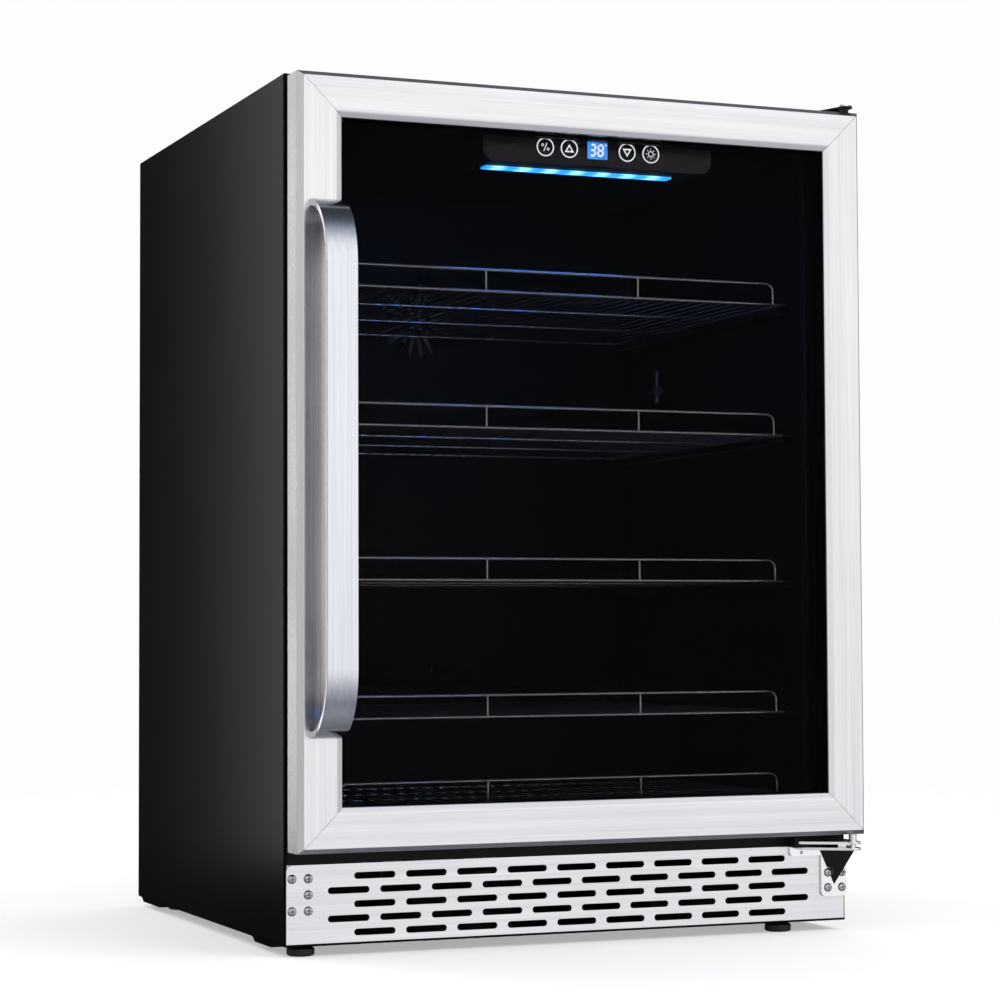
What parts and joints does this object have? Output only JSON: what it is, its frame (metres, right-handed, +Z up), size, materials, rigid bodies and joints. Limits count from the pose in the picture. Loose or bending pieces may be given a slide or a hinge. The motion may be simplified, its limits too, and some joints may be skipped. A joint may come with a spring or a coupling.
{
  "type": "glass-door under-counter beverage cooler",
  "caption": "Under-counter cooler: black steel cabinet, steel-framed glass door with bow handle, wire shelves, lit control panel and slotted kick grille.",
  "frame": {"origin": "bottom centre of the whole cooler's bounding box, on the floor under the feet", "axes": "+Z up, -Y out of the glass door, +X to the right seen from the front"},
  "size_m": [0.595, 0.63, 0.8351],
  "materials": {
    "black_steel": "satin black paint",
    "black_plastic": "fine moulded grain",
    "foam": "rigid foam",
    "brushed_steel": "brushed along each member",
    "handle_steel": "brushed along the strap",
    "bright_steel": "plated",
    "black_metal": "satin black",
    "tinted_glass": "lightly tinted",
    "aluminium": "mill finish",
    "gasket_rubber": "soft vinyl",
    "foot_rubber": "matt",
    "gloss_black": "gloss",
    "display_blue": "backlit",
    "circuit_green": "solder mask",
    "lamp_white": "lamp board",
    "lamp_cover": "frosted clear",
    "fan_plastic": "moulded",
    "motor_grey": "satin",
    "shelf_wire": "black coated wire",
    "galvanised": "galvanised",
    "copper": "drawn tube"
  },
  "bodies": {
    "cabinet": {"side_panel_left": "black_steel", "side_panel_right": "black_steel", "top_panel": "black_steel", "rear_panel": "black_steel", "rear_cover": "black_steel", "base_tray": "black_steel", "front_frame": "black_plastic", "inner_liner": "black_plastic", "foam_slabs": "foam", "corner_plates": "galvanised", "kick_grille": "brushed_steel", "grille_screws": "bright_steel", "lower_hinge_bracket": "bright_steel", "lower_hinge_pin": "bright_steel", "hinge_gusset": "black_metal", "door_stop_block": "black_plastic", "upper_hinge_plate": "black_metal", "hinge_screws": "bright_steel", "control_housing": "black_plastic", "control_window": "gloss_black", "display_module": "display_blue", "control_board": "circuit_green", "light_strip": "lamp_white", "light_diffuser": "lamp_cover", "temperature_probe": "bright_steel", "evaporator_cover": "black_plastic", "evaporator": "aluminium", "evaporator_fan_motor": "motor_grey", "shelf_ledges": "black_plastic", "bottom_rack": "shelf_wire", "compressor": "black_metal", "compressor_mounts": "foot_rubber", "condenser": "black_metal", "condenser_fan_frame": "motor_grey", "drain_pan": "fan_plastic", "discharge_pipe": "copper", "power_box": "black_plastic", "power_inlet": "gasket_rubber"},
    "door": {"door_left_stile": "brushed_steel", "door_right_stile": "brushed_steel", "door_top_rail": "brushed_steel", "door_bottom_rail": "brushed_steel", "door_inner_frame": "black_plastic", "outer_glass": "tinted_glass", "glass_spacer": "aluminium", "inner_glass": "tinted_glass", "door_gasket": "gasket_rubber", "handle": "handle_steel", "handle_screws": "bright_steel", "hinge_bushes": "black_plastic"},
    "shelf_1": {"shelf_1": "shelf_wire"},
    "shelf_2": {"shelf_2": "shelf_wire"},
    "shelf_3": {"shelf_3": "shelf_wire"},
    "shelf_4": {"shelf_4": "shelf_wire"},
    "cold_fan": {"evaporator_fan_blade": "fan_plastic"},
    "warm_fan": {"condenser_fan_blade": "fan_plastic"},
    "foot_front_left": {"foot_front_left": "foot_rubber"},
    "foot_front_right": {"foot_front_right": "foot_rubber"},
    "foot_rear_left": {"foot_rear_left": "foot_rubber"},
    "foot_rear_right": {"foot_rear_right": "foot_rubber"}
  },
  "joints": [
    {"name": "door_hinge", "type": "hinge", "parent": "cabinet", "child": "door", "pos_m": [0.287, -0.2535, 0], "axis": [0, 0, 1], "range_deg": [0, 110]},
    {"name": "shelf_1_slide", "type": "slide", "parent": "cabinet", "child": "shelf_1", "axis": [0, -1, 0], "range_m": [0, 0.04]},
    {"name": "shelf_2_slide", "type": "slide", "parent": "cabinet", "child": "shelf_2", "axis": [0, -1, 0], "range_m": [0, 0.04]},
    {"name": "shelf_3_slide", "type": "slide", "parent": "cabinet", "child": "shelf_3", "axis": [0, -1, 0], "range_m": [0, 0.04]},
    {"name": "shelf_4_slide", "type": "slide", "parent": "cabinet", "child": "shelf_4", "axis": [0, -1, 0], "range_m": [0, 0.04]},
    {"name": "cold_fan_spin", "type": "hinge", "parent": "cabinet", "child": "cold_fan", "pos_m": [0, 0.24, 0.655], "axis": [0, 1, 0], "continuous": true},
    {"name": "warm_fan_spin", "type": "hinge", "parent": "cabinet", "child": "warm_fan", "pos_m": [-0.06, 0.21, 0.092], "axis": [1, 0, 0], "continuous": true},
    {"name": "foot_front_left_screw", "type": "slide", "parent": "cabinet", "child": "foot_front_left", "axis": [0, 0, -1], "range_m": [0, 0.012]},
    {"name": "foot_front_right_screw", "type": "slide", "parent": "cabinet", "child": "foot_front_right", "axis": [0, 0, -1], "range_m": [0, 0.012]},
    {"name": "foot_rear_left_screw", "type": "slide", "parent": "cabinet", "child": "foot_rear_left", "axis": [0, 0, -1], "range_m": [0, 0.012]},
    {"name": "foot_rear_right_screw", "type": "slide", "parent": "cabinet", "child": "foot_rear_right", "axis": [0, 0, -1], "range_m": [0, 0.012]}
  ]
}
